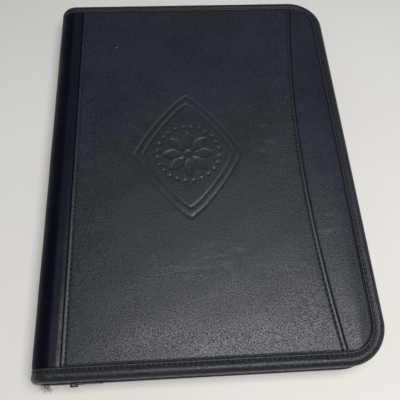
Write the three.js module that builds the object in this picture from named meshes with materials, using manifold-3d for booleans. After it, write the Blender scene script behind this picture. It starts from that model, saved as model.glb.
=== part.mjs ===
// A zippered padfolio, closed and lying on its back cover.
// Two stiff leather covers and a rounded spine hold a letter pad, and a zip closes the three open edges.
// Millimetres. X runs from the spine to the fore edge, Y up the page, Z out of the front cover.
// The origin is the middle of the back cover's outer face.
import * as THREE from "three";
import { mergeVertices } from "three/addons/utils/BufferGeometryUtils.js";
import Module from "manifold-3d";

const wasm = await Module();
wasm.setup();

// Closed case, which takes its width and height from the letter pad inside it
const caseThickness = 30;
const cornerRadius = 30;

// Layers of a cover, from the outer face inwards
const ridgeHeight = 0.5;
const centreRaise = 0.2;
const skinThickness = 0.8;
const foamThickness = 1.4;
const boardThickness = 2;
const liningThickness = 0.5;
const skinFlange = 0.6;
const skinWall = 0.8;

// Seams of the front: a straight one by the spine and a bowed one by the fore edge
const spineSeamFromEdge = 23;
const curvedSeamFromEdgeAtHead = 26.2;
const curvedSeamFromEdgeInMiddle = 40.7;
const curvedSeamFromEdgeAtTail = 29.4;
const ridgeWidth = 3;

// Debossed ornament: two nested lozenges round an eight-petalled rosette
const ornamentX = -9;
const ornamentY = 1;
const ornamentHalfWidth = 44;
const ornamentHalfHeight = 58;
const ornamentLine = 2;
const ornamentPitch = 7;
const ornamentBow = 0.62;
const petalCount = 8;
const petalInner = 5;
const petalOuter = 21;
const petalWidth = 8;
const debossDepth = 0.35;

// Bound edge, a folded strip that grips the layers: thin rib, stitched channel, rolled rib, inner leg
const bindingFaceWidth = 9.3;
const bindingInnerWidth = 7.5;
const bindingWall = 1.2;
const bindingRecess = 0.3;
const bindingChannelDepth = 1;
const bindingLip = 1;
const thinRibWidth = 1.1;
const thinRibDrop = 0.4;
const thinRibSlope = 0.35;
const channelWidth = 2.3;
const rolledRibSlope = 0.7;
const rolledRibDrop = 0.2;
const rolledRibWidth = 2.9;
const rolledRibFall = 3.4;

// Zip tapes and coils
const tapeInset = 3;
const tapeThickness = 0.6;
const tapeFlange = 4.5;
const coilWidth = 2.2;
const coilHeight = 1.5;
const coilFloor = 0.4;
const runningSlit = 1.6;
const stopWidth = 2.6;
const stopHeight = 2.4;
const stopLength = 2;
const tapeEndFromSpine = 2;
const stopFromTapeEnd = 0.6;

// Slider and pull
const sliderLength = 11;
const sliderFromEdge = 30;
const sliderHeight = 8;
const sliderPlate = 1.2;
const sliderLip = 1;
const sliderCorner = 1.5;
const postLength = 2;
const postHeight = 1;
const postFromEnd = 1.5;
const bailWidth = 2.4;
const bailWire = 1.1;
const bailSpan = 3;
const bailClear = 2.2;
const pullLength = 20;
const pullWidth = 6.6;
const pullThickness = 1.2;
const pullRail = 1.3;
const pullHoleLength = 6.6;
const pullBar = 1.6;

// Letter pad and the pocket that holds its card back
const padWidth = 216;
const padHeight = 279;
const padThickness = 7;
const cardThickness = 0.5;
const padFromHead = 25;
const padMarginAtSpine = 2.2;
const padMarginAtFore = 2.7;
const padMarginAtTail = 2.7;
const headTapeDepth = 10;
const headTapeThickness = 0.5;
const pocketWall = 0.6;
const pocketGap = 0.6;
const pocketRim = 3;
const padPocketHeight = 168;

// Pockets inside the front cover
const organiserFromSpine = 22;
const pocketBottomFromEdge = 24;
const foreMargin = 13;
const documentPocketHeight = 136;
const cardPocketWidth = 96;
const cardPocketHeight = 30;
const cardPocketPitch = 35;
const cardPocketCount = 3;
const cardPocketGap = 15;
const passPocketHeight = 70;
const pocketColumnGap = 8;

// Pen loop
const penLoopWidth = 13;
const penLoopHeight = 9;
const penLoopLength = 30;
const penLoopWall = 0.8;
const penLoopRadius = 3;
const penLoopFromSpine = 9;

// Fits
const clearance = 0.3;
const glueLine = 0.1;
const hingeGap = 0.3;
const overrun = 5;
const weldDistance = 1e-4;
const leastRadius = 1;

// Steps of the round parts
const cornerSteps = 8;
const wrapSteps = 4;
const rollSteps = 4;
const edgeRollSteps = 2;
const curvedSeamSteps = 12;
const ornamentSteps = 6;
const barSides = 12;

// The case round the pad: its pocket's rims clear the spine, the bound edge and the round corners
const padRim = pocketRim + clearance;
const padFromSpine = padRim + padMarginAtSpine;
const padFromFore = bindingInnerWidth + padRim + padMarginAtFore;
const padFromTail = cornerRadius + padRim + padMarginAtTail;
const caseWidth = caseThickness / 2 + padFromSpine + padWidth + padFromFore;
const caseHeight = padFromTail + padHeight + padFromHead;

// Places worked out from the sizes above
const foreX = caseWidth / 2;
const topY = caseHeight / 2;
const spineRadius = caseThickness / 2;
const spineX = spineRadius - foreX;
const midZ = caseThickness / 2;
const spineSeamX = spineSeamFromEdge - foreX;
const coverWrap = Math.PI / 4 - hingeGap / 2 / spineRadius;
const centreFaceDepth = ridgeHeight - centreRaise;
const skinDepth = ridgeHeight + skinThickness;
const foamDepth = skinDepth + foamThickness;
const boardDepth = foamDepth + boardThickness;
const coverDepth = boardDepth + liningThickness;
const flangeDepth = foamDepth - skinFlange;
const boardInset = bindingWall + clearance;
const skinInset = bindingFaceWidth + clearance;
const cavityInset = skinInset + skinWall;
const bindingInnerDepth = coverDepth + glueLine + bindingLip;
const coilZ = midZ + runningSlit / 2;
const tapeEdgeZ = coilZ + coilFloor + clearance;
const tapeStartX = spineX + tapeEndFromSpine;
const sliderX = sliderFromEdge - foreX;
const coilStartX = sliderX + sliderLength / 2 + clearance;

// A manifold solid of a closed three.js geometry.
function solidOf(geometry) {
  const bare = geometry.clone();
  bare.deleteAttribute("normal");
  bare.deleteAttribute("uv");
  const merged = mergeVertices(bare, weldDistance);
  return new wasm.Manifold(
    new wasm.Mesh({
      numProp: 3,
      vertProperties: merged.attributes.position.array,
      triVerts: new Uint32Array(merged.index.array),
    }),
  );
}

// A three.js geometry of a manifold solid.
function geometryOf(solid) {
  const mesh = solid.getMesh();
  const geometry = new THREE.BufferGeometry();
  geometry.setAttribute("position", new THREE.BufferAttribute(mesh.vertProperties, 3));
  geometry.setIndex(new THREE.BufferAttribute(mesh.triVerts, 1));
  return geometry;
}

// A box between two corners, each given as [x, y, z].
function box(low, high) {
  const size = high.map((value, i) => value - low[i]);
  const middle = high.map((value, i) => (value + low[i]) / 2);
  return new THREE.BoxGeometry(...size).translate(...middle);
}

function cut(geometry, ...tools) {
  let solid = solidOf(geometry);
  for (const tool of tools) solid = solid.subtract(solidOf(tool));
  return geometryOf(solid);
}

function join(...geometries) {
  let solid = solidOf(geometries[0]);
  for (const other of geometries.slice(1)) solid = solid.add(solidOf(other));
  return geometryOf(solid);
}

function common(a, b) {
  return geometryOf(solidOf(a).intersect(solidOf(b)));
}

// A shape drawn in X and Y, standing from one height to another.
function prism(shape, lowZ, highZ, curveSegments = cornerSteps) {
  const options = { depth: highZ - lowZ, bevelEnabled: false, curveSegments };
  return new THREE.ExtrudeGeometry(shape, options).translate(0, 0, lowZ);
}

// A section drawn in X and Z, running along Y and centred on y = 0.
function extrusion(section, length, curveSegments = wrapSteps) {
  const options = { depth: length, bevelEnabled: false, curveSegments };
  return new THREE.ExtrudeGeometry(section, options).rotateX(Math.PI / 2).translate(0, length / 2, 0);
}

// The front's geometry turned over onto the back cover: z becomes caseThickness - z.
function turnedOver(geometry) {
  const other = geometry.index ? geometry.toNonIndexed() : geometry.clone();
  const position = other.attributes.position;
  for (let i = 0; i < position.count; i += 3) {
    const corners = [0, 1, 2].map((k) => new THREE.Vector3().fromBufferAttribute(position, i + k));
    [corners[0], corners[2], corners[1]].forEach((corner, k) => {
      position.setXYZ(i + k, corner.x, corner.y, caseThickness - corner.z);
    });
  }
  return other;
}

// The outline of a cover seen from the front: square at the spine, round at the fore corners.
function coverOutline(leftX, inset) {
  const right = foreX - inset;
  const top = topY - inset;
  const radius = Math.max(cornerRadius - inset, leastRadius);
  const shape = new THREE.Shape();
  shape.moveTo(leftX, -top);
  shape.lineTo(right - radius, -top);
  shape.absarc(right - radius, -top + radius, radius, -Math.PI / 2, 0);
  shape.absarc(right - radius, top - radius, radius, 0, Math.PI / 2);
  shape.lineTo(leftX, top);
  return shape;
}

// A flat layer of the front cover between two depths below its outer face.
function flatLayer(leftX, inset, upperDepth, lowerDepth) {
  return prism(coverOutline(leftX, inset), caseThickness - lowerDepth, caseThickness - upperDepth);
}

// A ring sector about the spine's middle, between two depths and two angles from straight up.
function spineSection(upperDepth, lowerDepth, fromAngle, toAngle) {
  const shape = new THREE.Shape();
  const start = Math.PI / 2 + fromAngle;
  const end = Math.PI / 2 + toAngle;
  shape.absarc(spineX, midZ, spineRadius - upperDepth, start, end, false);
  shape.absarc(spineX, midZ, spineRadius - lowerDepth, end, start, true);
  return shape;
}

// A layer of the front cover that also wraps down round the spine by an angle.
function wrappedLayer(inset, upperDepth, lowerDepth, wrap) {
  const section = new THREE.Shape();
  section.moveTo(foreX, caseThickness - lowerDepth);
  section.lineTo(foreX, caseThickness - upperDepth);
  section.lineTo(spineX, caseThickness - upperDepth);
  section.absarc(spineX, midZ, spineRadius - upperDepth, Math.PI / 2, Math.PI / 2 + wrap, false);
  section.absarc(spineX, midZ, spineRadius - lowerDepth, Math.PI / 2 + wrap, Math.PI / 2, true);
  const outline = coverOutline(-foreX - overrun, inset);
  return common(extrusion(section, caseHeight), prism(outline, -overrun, caseThickness + overrun));
}

// A stitched skin: a face over the foam, a short wall at its edge and a flange under the binding.
function coverSkin(faceDepth) {
  const face = wrappedLayer(skinInset, faceDepth, foamDepth, coverWrap);
  const flange = wrappedLayer(boardInset, flangeDepth, foamDepth, coverWrap);
  const cavityWrap = coverWrap + hingeGap / spineRadius;
  const cavity = wrappedLayer(cavityInset, skinDepth, foamDepth + overrun / 2, cavityWrap);
  return cut(join(face, flange), cavity);
}

// The bowed seam as points from the head to the tail, moved along X.
function curvedSeam(shift) {
  const headY = topY + overrun;
  const headX = foreX - curvedSeamFromEdgeAtHead + shift;
  const middleX = foreX - curvedSeamFromEdgeInMiddle + shift;
  const tailX = foreX - curvedSeamFromEdgeAtTail + shift;
  const curve = new THREE.QuadraticBezierCurve(
    new THREE.Vector2(headX, headY),
    new THREE.Vector2(2 * middleX - (headX + tailX) / 2, 0),
    new THREE.Vector2(tailX, -headY),
  );
  return curve.getPoints(curvedSeamSteps);
}

// A block that covers the plan between a straight left side and the bowed seam.
function leftOfCurve(leftX, shift, lowZ, highZ) {
  const points = curvedSeam(shift);
  points.push(new THREE.Vector2(leftX, -topY - overrun), new THREE.Vector2(leftX, topY + overrun));
  return prism(new THREE.Shape(points), lowZ, highZ);
}

// A block that covers the plan between two vertical lines.
function between(leftX, rightX, lowZ = -overrun, highZ = caseThickness + overrun) {
  return box([leftX, -topY - overrun, lowZ], [rightX, topY + overrun, highZ]);
}

// A lozenge with bowed sides about the ornament's middle.
function lozenge(halfWidth, halfHeight) {
  const shape = new THREE.Shape();
  shape.moveTo(ornamentX + halfWidth, ornamentY);
  for (const [x, y, fromX, fromY] of [
    [0, 1, 1, 0],
    [-1, 0, 0, 1],
    [0, -1, -1, 0],
    [1, 0, 0, -1],
  ]) {
    const controlX = ornamentX + (x + fromX) * halfWidth * ornamentBow;
    const controlY = ornamentY + (y + fromY) * halfHeight * ornamentBow;
    shape.quadraticCurveTo(controlX, controlY, ornamentX + x * halfWidth, ornamentY + y * halfHeight);
  }
  return shape;
}

function ornamentTools() {
  const lowZ = caseThickness - centreFaceDepth - debossDepth;
  const highZ = caseThickness + overrun;
  const tools = [];
  for (const inwards of [0, ornamentPitch]) {
    const ring = lozenge(ornamentHalfWidth - inwards, ornamentHalfHeight - inwards);
    const inner = inwards + ornamentLine;
    ring.holes.push(lozenge(ornamentHalfWidth - inner, ornamentHalfHeight - inner));
    tools.push(prism(ring, lowZ, highZ, ornamentSteps));
  }
  for (let i = 0; i < petalCount; i += 1) {
    const petal = new THREE.Shape();
    petal.moveTo(petalInner, 0);
    petal.quadraticCurveTo((petalInner + petalOuter) / 2, petalWidth, petalOuter, 0);
    petal.quadraticCurveTo((petalInner + petalOuter) / 2, -petalWidth, petalInner, 0);
    const turned = prism(petal, lowZ, highZ, ornamentSteps).rotateZ((i * 2 * Math.PI) / petalCount);
    tools.push(turned.translate(ornamentX, ornamentY, 0));
  }
  return tools;
}

// Stations round the open edges, from the spine's tail end by the fore edge to its head end.
// Each has a point on the outer edge, the way inwards over the cover and the face's normal.
function edgeStations(tailX, headX, wrap) {
  const stations = [];
  const add = (x, y, z, inX, inY, normalX, normalZ) => {
    stations.push({
      point: new THREE.Vector3(x, y, z),
      inwards: new THREE.Vector3(inX, inY, 0),
      normal: new THREE.Vector3(normalX, 0, normalZ),
    });
  };
  const addWrapped = (side, angle) => {
    const x = spineX - Math.sin(angle) * spineRadius;
    const z = midZ + Math.cos(angle) * spineRadius;
    add(x, side * topY, z, 0, -side, -Math.sin(angle), Math.cos(angle));
  };
  for (let i = 0; wrap > 0 && i < wrapSteps; i += 1) addWrapped(-1, wrap * (1 - i / wrapSteps));
  add(tailX, -topY, caseThickness, 0, 1, 0, 1);
  for (const side of [-1, 1]) {
    for (let i = 0; i <= cornerSteps; i += 1) {
      const share = i / cornerSteps;
      const angle = ((side < 0 ? share - 1 : share) * Math.PI) / 2;
      const x = foreX - cornerRadius + Math.cos(angle) * cornerRadius;
      const y = side * (topY - cornerRadius) + Math.sin(angle) * cornerRadius;
      add(x, y, caseThickness, -Math.cos(angle), -Math.sin(angle), 0, 1);
    }
  }
  add(headX, topY, caseThickness, 0, -1, 0, 1);
  for (let i = 1; wrap > 0 && i <= wrapSteps; i += 1) addWrapped(1, (wrap * i) / wrapSteps);
  return stations;
}

// Stations round the spine's own end, at the head (side 1) or the tail (side -1).
function spineStations(side) {
  const stations = [];
  const steps = 2 * wrapSteps;
  const fromTurn = coverWrap + hingeGap / spineRadius;
  for (let i = 0; i <= steps; i += 1) {
    const turn = fromTurn + ((Math.PI - 2 * fromTurn) * i) / steps;
    stations.push({
      point: new THREE.Vector3(
        spineX - Math.sin(turn) * spineRadius,
        side * topY,
        midZ + Math.cos(turn) * spineRadius,
      ),
      inwards: new THREE.Vector3(0, -side, 0),
      normal: new THREE.Vector3(-Math.sin(turn), 0, Math.cos(turn)),
    });
  }
  return stations;
}

// Two stations on a straight stretch of the head or tail edge.
function straightStations(side, fromX, toX) {
  return [fromX, toX].map((x) => ({
    point: new THREE.Vector3(x, side * topY, caseThickness),
    inwards: new THREE.Vector3(0, -side, 0),
    normal: new THREE.Vector3(0, 0, 1),
  }));
}

// A profile of [inwards, depth] points carried along stations, with flat ends.
function swept(profile, stations) {
  const outline = profile.map(([across, depth]) => new THREE.Vector2(across, depth));
  if (THREE.ShapeUtils.isClockWise(outline)) outline.reverse();
  const along = stations[1].point.clone().sub(stations[0].point);
  const forwards = stations[0].inwards.clone().cross(stations[0].normal).dot(along) > 0;
  const path = forwards ? stations : [...stations].reverse();
  const count = outline.length;
  const positions = [];
  for (const { point, inwards, normal } of path) {
    for (const { x, y } of outline) {
      const place = point.clone().addScaledVector(inwards, x).addScaledVector(normal, -y);
      positions.push(place.x, place.y, place.z);
    }
  }
  const indices = [];
  for (let s = 0; s + 1 < path.length; s += 1) {
    for (let i = 0; i < count; i += 1) {
      const a = s * count + i;
      const b = s * count + ((i + 1) % count);
      indices.push(b, a, a + count, b, a + count, b + count);
    }
  }
  const last = (path.length - 1) * count;
  for (const [a, b, c] of THREE.ShapeUtils.triangulateShape(outline, [])) {
    indices.push(a, b, c, last + a, last + c, last + b);
  }
  const geometry = new THREE.BufferGeometry();
  geometry.setAttribute("position", new THREE.Float32BufferAttribute(positions, 3));
  geometry.setIndex(indices);
  return geometry;
}

// Points of a quarter ellipse about a centre, through an angle from straight up towards the edge.
function quarterRound(centre, radii, fromAngle, steps) {
  const points = [];
  for (let i = 0; i <= steps; i += 1) {
    const angle = fromAngle + (i * Math.PI) / 2 / steps;
    points.push([centre[0] - radii[0] * Math.sin(angle), centre[1] - radii[1] * Math.cos(angle)]);
  }
  return points;
}

// The section of the bound edge: thin rib, stitched channel, rolled rib, edge and inner leg.
function bindingProfile() {
  const faceLow = flangeDepth - glueLine;
  const innerHigh = coverDepth + glueLine;
  const channel = bindingChannelDepth + bindingRecess;
  const thinRib = bindingFaceWidth - thinRibWidth;
  const channelOuter = thinRib - thinRibSlope - channelWidth;
  const roll = [rolledRibWidth, bindingRecess + rolledRibFall];
  const edge = [bindingWall, bindingInnerDepth - bindingWall];
  return [
    [bindingFaceWidth, faceLow],
    [bindingFaceWidth, channel],
    [bindingFaceWidth - thinRibSlope, bindingRecess + thinRibDrop],
    [thinRib, bindingRecess + thinRibDrop],
    [thinRib - thinRibSlope, channel],
    [channelOuter, channel],
    [channelOuter - rolledRibSlope, bindingRecess + rolledRibDrop],
    ...quarterRound(roll, [rolledRibWidth, rolledRibFall], 0, rollSteps),
    ...quarterRound(edge, [bindingWall, bindingWall], Math.PI / 2, edgeRollSteps),
    [bindingInnerWidth, bindingInnerDepth],
    [bindingInnerWidth, innerHigh],
    [bindingWall, innerHigh],
    [bindingWall, faceLow],
  ];
}

// A tape: a flange sewn under the binding's inner leg and a wall that stands across the gap.
function tapeProfile() {
  const flangeTop = bindingInnerDepth;
  const edge = caseThickness - tapeEdgeZ;
  return [
    [tapeInset, flangeTop],
    [tapeInset + tapeFlange, flangeTop],
    [tapeInset + tapeFlange, flangeTop + tapeThickness],
    [tapeInset + tapeThickness, flangeTop + tapeThickness],
    [tapeInset + tapeThickness, edge],
    [tapeInset, edge],
  ];
}

// A channel that grips the tape's edge: the coil's outer form, or a stop's.
function gripProfile(width, height) {
  const middle = tapeInset + tapeThickness / 2;
  const slot = tapeThickness / 2 + clearance;
  const low = caseThickness - coilZ;
  const high = low - height;
  const floor = low - coilFloor;
  return [
    [middle - width / 2, low],
    [middle - width / 2, high],
    [middle - slot, high],
    [middle - slot, floor],
    [middle + slot, floor],
    [middle + slot, high],
    [middle + width / 2, high],
    [middle + width / 2, low],
  ];
}

// A flat pocket on the front cover's lining: a wall with three stitched rims, open at the head.
function pocket(leftX, rightX, lowY, highY) {
  const seat = caseThickness - coverDepth;
  const outer = box([leftX, lowY, seat - pocketGap - pocketWall], [rightX, highY, seat]);
  const cavity = box(
    [leftX + pocketRim, lowY + pocketRim, seat - pocketGap],
    [rightX - pocketRim, highY + overrun, seat + overrun],
  );
  return cut(outer, cavity);
}

function roundedRectangle(shape, left, bottom, width, height, radius) {
  shape.moveTo(left + radius, bottom);
  shape.absarc(left + width - radius, bottom + radius, radius, -Math.PI / 2, 0);
  shape.absarc(left + width - radius, bottom + height - radius, radius, 0, Math.PI / 2);
  shape.absarc(left + radius, bottom + height - radius, radius, Math.PI / 2, Math.PI);
  shape.absarc(left + radius, bottom + radius, radius, Math.PI, 1.5 * Math.PI);
  return shape;
}

// Surfaces
const finishes = {
  leather: new THREE.MeshStandardMaterial({ color: 0x2b2e33, roughness: 0.5, metalness: 0 }),
  binding: new THREE.MeshStandardMaterial({ color: 0x24262b, roughness: 0.45, metalness: 0 }),
  foam: new THREE.MeshStandardMaterial({ color: 0x8c8c88, roughness: 0.95, metalness: 0 }),
  board: new THREE.MeshStandardMaterial({ color: 0x8a7d6a, roughness: 0.9, metalness: 0 }),
  lining: new THREE.MeshStandardMaterial({ color: 0x26272a, roughness: 0.85, metalness: 0 }),
  tape: new THREE.MeshStandardMaterial({ color: 0x0f1012, roughness: 0.9, metalness: 0 }),
  coil: new THREE.MeshStandardMaterial({ color: 0x121316, roughness: 0.4, metalness: 0 }),
  metal: new THREE.MeshStandardMaterial({ color: 0x1d1e20, roughness: 0.35, metalness: 1 }),
  elastic: new THREE.MeshStandardMaterial({ color: 0x17181a, roughness: 0.9, metalness: 0 }),
  paper: new THREE.MeshStandardMaterial({ color: 0xf0eee6, roughness: 0.9, metalness: 0 }),
  card: new THREE.MeshStandardMaterial({ color: 0x9c8b70, roughness: 0.9, metalness: 0 }),
};

const padfolio = new THREE.Group();
const backCover = new THREE.Group();
const spine = new THREE.Group();
const frontCover = new THREE.Group();
const slider = new THREE.Group();
padfolio.add(backCover, spine, frontCover, slider);

function addPiece(group, name, geometry, finish) {
  const mesh = new THREE.Mesh(geometry, finishes[finish].clone());
  mesh.name = name;
  group.add(mesh);
  return mesh;
}

// Layers, bound edge, tape and coil that both covers have; "over" turns them onto the back.
function addCommonLayers(group, side, over) {
  const boardX = spineX + clearance;
  const foam = flatLayer(boardX, cavityInset + clearance, skinDepth, foamDepth);
  addPiece(group, `${side}_foam`, over(foam), "foam");
  const board = flatLayer(boardX, boardInset, foamDepth, boardDepth);
  addPiece(group, `${side}_board`, over(board), "board");
  const lining = flatLayer(spineX, boardInset, boardDepth, coverDepth);
  addPiece(group, `${side}_lining`, over(lining), "lining");
  const bound = edgeStations(spineX, spineX, coverWrap);
  addPiece(group, `${side}_binding`, over(swept(bindingProfile(), bound)), "binding");
  const tape = edgeStations(tapeStartX, tapeStartX, 0);
  addPiece(group, `${side}_zip_tape`, over(swept(tapeProfile(), tape)), "tape");
  const coil = edgeStations(coilStartX, tapeStartX + 2 * stopLength, 0);
  addPiece(group, `${side}_zip_coil`, over(swept(gripProfile(coilWidth, coilHeight), coil)), "coil");
  const stopX = tapeStartX + stopFromTapeEnd;
  const stop = swept(gripProfile(stopWidth, stopHeight), straightStations(-1, stopX, stopX + stopLength));
  addPiece(group, `${side}_zip_top_stop`, over(stop), "metal");
}

function addFrontCover() {
  const halfGap = clearance / 2;
  const sideSkin = coverSkin(ridgeHeight);
  const edgePanel = common(sideSkin, between(-foreX - overrun, spineSeamX - halfGap));
  addPiece(frontCover, "spine_panel_front_edge", edgePanel, "leather");
  const fore = cut(
    common(sideSkin, between(0, foreX + overrun)),
    leftOfCurve(-overrun, halfGap, -overrun, caseThickness + overrun),
  );
  addPiece(frontCover, "front_side_panel", fore, "leather");

  const plan = leftOfCurve(spineSeamX + halfGap, -halfGap, -overrun, caseThickness + overrun);
  const centre = common(coverSkin(centreFaceDepth), plan);
  const ridged = flatLayer(spineSeamX + halfGap, skinInset, 0, skinDepth);
  const innerX = spineSeamX + halfGap + ridgeWidth;
  const inner = leftOfCurve(innerX, -halfGap - ridgeWidth, -overrun, caseThickness + overrun);
  const ridges = cut(common(ridged, plan), inner);
  addPiece(frontCover, "front_centre_panel", cut(join(centre, ridges), ...ornamentTools()), "leather");

  addCommonLayers(frontCover, "front", (geometry) => geometry);
  addFrontPockets();
  addPenLoop();
}

function addFrontPockets() {
  const leftX = spineX + organiserFromSpine;
  const rightX = foreX - foreMargin;
  const lowY = pocketBottomFromEdge - topY;
  const documentTop = lowY + documentPocketHeight;
  addPiece(frontCover, "document_pocket", pocket(leftX, rightX, lowY, documentTop), "lining");
  for (let i = 0; i < cardPocketCount; i += 1) {
    const y = documentTop + cardPocketGap + i * cardPocketPitch;
    const sleeve = pocket(leftX, leftX + cardPocketWidth, y, y + cardPocketHeight);
    addPiece(frontCover, `card_pocket_${i + 1}`, sleeve, "lining");
  }
  const passLeft = leftX + cardPocketWidth + pocketColumnGap;
  const passLow = documentTop + cardPocketGap;
  const passPocket = pocket(passLeft, rightX, passLow, passLow + passPocketHeight);
  addPiece(frontCover, "pass_pocket", passPocket, "lining");
}

function addPenLoop() {
  const seat = caseThickness - coverDepth;
  const left = spineX + penLoopFromSpine - penLoopWidth / 2;
  const bottom = seat - penLoopHeight;
  const shape = roundedRectangle(
    new THREE.Shape(),
    left,
    bottom,
    penLoopWidth,
    penLoopHeight,
    penLoopRadius,
  );
  const hole = roundedRectangle(
    new THREE.Path(),
    left + penLoopWall,
    bottom + penLoopWall,
    penLoopWidth - 2 * penLoopWall,
    penLoopHeight - 2 * penLoopWall,
    penLoopRadius - penLoopWall,
  );
  shape.holes.push(hole);
  addPiece(frontCover, "pen_loop", extrusion(shape, penLoopLength), "elastic");
}

function addBackCover() {
  const halfGap = clearance / 2;
  const edge = common(coverSkin(ridgeHeight), between(-foreX - overrun, spineSeamX - halfGap));
  addPiece(backCover, "spine_panel_back_edge", turnedOver(edge), "leather");
  const skin = common(coverSkin(0), between(spineSeamX + halfGap, foreX + overrun));
  addPiece(backCover, "back_outer_skin", turnedOver(skin), "leather");
  addCommonLayers(backCover, "back", turnedOver);
  const stopX = tapeStartX + stopFromTapeEnd;
  const stop = swept(gripProfile(stopWidth, stopHeight), straightStations(1, stopX, stopX + stopLength));
  addPiece(backCover, "zip_bottom_stop", turnedOver(stop), "metal");
  addPad();
}

function addPad() {
  const leftX = spineX + padFromSpine;
  const rightX = leftX + padWidth;
  const headY = topY - padFromHead;
  const lowY = headY - padHeight;
  const seat = coverDepth;
  const sheetsLow = seat + pocketGap + pocketWall;
  const sheetsHigh = sheetsLow + padThickness;
  const sleeveLow = lowY - padRim;
  const sleeve = pocket(leftX - padRim, rightX + padRim, sleeveLow, sleeveLow + padPocketHeight);
  addPiece(backCover, "pad_pocket", turnedOver(sleeve), "lining");
  const card = box([leftX, lowY, seat], [rightX, headY, seat + cardThickness]);
  addPiece(backCover, "notepad_card_back", card, "card");
  const sheets = box([leftX, lowY, sheetsLow], [rightX, headY, sheetsHigh]);
  addPiece(backCover, "notepad_sheets", sheets, "paper");
  const overTop = box(
    [leftX, headY - headTapeDepth, sheetsHigh],
    [rightX, headY + clearance + headTapeThickness, sheetsHigh + headTapeThickness],
  );
  const overHead = box(
    [leftX, headY + clearance, seat],
    [rightX, headY + clearance + headTapeThickness, sheetsHigh + headTapeThickness],
  );
  addPiece(backCover, "notepad_head_tape", join(overTop, overHead), "binding");
}

function addSpine() {
  const fromAngle = coverWrap + hingeGap / spineRadius;
  const toAngle = Math.PI - fromAngle;
  const layer = (upper, lower, inset) =>
    extrusion(spineSection(upper, lower, fromAngle, toAngle), caseHeight - 2 * inset, 2 * wrapSteps);
  const leatherLow = flangeDepth;
  const stiffenerHigh = leatherLow + clearance;
  const stiffenerLow = boardDepth - clearance;
  addPiece(spine, "spine_skin", layer(ridgeHeight, leatherLow, skinInset), "leather");
  addPiece(spine, "spine_stiffener", layer(stiffenerHigh, stiffenerLow, boardInset), "board");
  addPiece(spine, "spine_lining", layer(boardDepth, coverDepth, boardInset), "lining");
  addPiece(spine, "spine_binding_head", swept(bindingProfile(), spineStations(1)), "binding");
  addPiece(spine, "spine_binding_tail", swept(bindingProfile(), spineStations(-1)), "binding");
}

// The slider runs along the tail edge: two plates, a dividing post and lips that leave a slot for the tape.
function addSlider() {
  const tapeY = tapeInset + tapeThickness / 2 - topY;
  const channel = coilWidth / 2 + clearance;
  const slot = tapeThickness / 2 + clearance;
  const outerY = tapeY - channel;
  const innerY = tapeY + channel;
  const left = sliderX - sliderLength / 2;
  const right = sliderX + sliderLength / 2;
  const low = midZ - sliderHeight / 2;
  const high = midZ + sliderHeight / 2;
  const plate = roundedRectangle(new THREE.Shape(), left, low, sliderLength, sliderHeight, sliderCorner);
  const outerPlate = extrusion(plate, sliderPlate).translate(0, outerY - sliderPlate / 2, 0);
  const innerPlate = extrusion(plate, sliderPlate).translate(0, innerY + sliderPlate / 2, 0);
  const postLeft = left + postFromEnd;
  const post = box(
    [postLeft, outerY - sliderPlate / 2, midZ - postHeight / 2],
    [postLeft + postLength, innerY + sliderPlate / 2, midZ + postHeight / 2],
  );
  const lips = [];
  for (const [nearY, farY] of [
    [outerY - sliderPlate / 2, tapeY - slot],
    [tapeY + slot, innerY + sliderPlate / 2],
  ]) {
    for (const lipLow of [low, high - sliderLip]) {
      lips.push(box([left + sliderCorner, nearY, lipLow], [right - sliderCorner, farY, lipLow + sliderLip]));
    }
  }
  const face = outerY - sliderPlate;
  const bail = cut(
    box(
      [sliderX - bailSpan / 2 - bailWire, face - bailClear - bailWire, midZ - bailWidth / 2],
      [sliderX + bailSpan / 2 + bailWire, face + sliderPlate / 2, midZ + bailWidth / 2],
    ),
    box(
      [sliderX - bailSpan / 2, face - bailClear, midZ - bailWidth],
      [sliderX + bailSpan / 2, face, midZ + bailWidth],
    ),
  );
  const body = join(outerPlate, post, innerPlate, ...lips, bail);
  addPiece(slider, "zip_slider", body, "metal");
  addPull(face);
}

// The pull hangs on a bar under the slider's bail and lies along the tail edge.
function addPull(face) {
  const barY = face - clearance - pullBar / 2;
  const left = sliderX - pullBar / 2;
  const holeLeft = sliderX + pullBar / 2;
  const holeHalf = pullWidth / 2 - pullRail;
  const shape = roundedRectangle(
    new THREE.Shape(),
    left,
    midZ - pullWidth / 2,
    pullLength,
    pullWidth,
    pullBar / 2,
  );
  const tab = extrusion(shape, pullThickness).translate(0, barY, 0);
  const hole = box(
    [holeLeft, barY - pullThickness, midZ - holeHalf],
    [holeLeft + pullHoleLength, barY + pullThickness, midZ + holeHalf],
  );
  const bar = new THREE.CylinderGeometry(pullBar / 2, pullBar / 2, pullWidth, barSides);
  bar.rotateX(Math.PI / 2).translate(sliderX, barY, midZ);
  addPiece(slider, "zip_pull", join(cut(tab, hole), bar), "metal");
}

addBackCover();
addSpine();
addFrontCover();
addSlider();

export default padfolio;
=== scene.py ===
# %% [markdown]
# # A zippered padfolio
# A padfolio is two stiff covers on a rounded spine, closed by a zip on three edges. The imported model
# brings the sizes, the hinges and the plain inner parts. This script makes what the eye meets:
# padded leather, bound edges, stitches, zip teeth, linings and paper.

# %% The frame
import math

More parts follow.
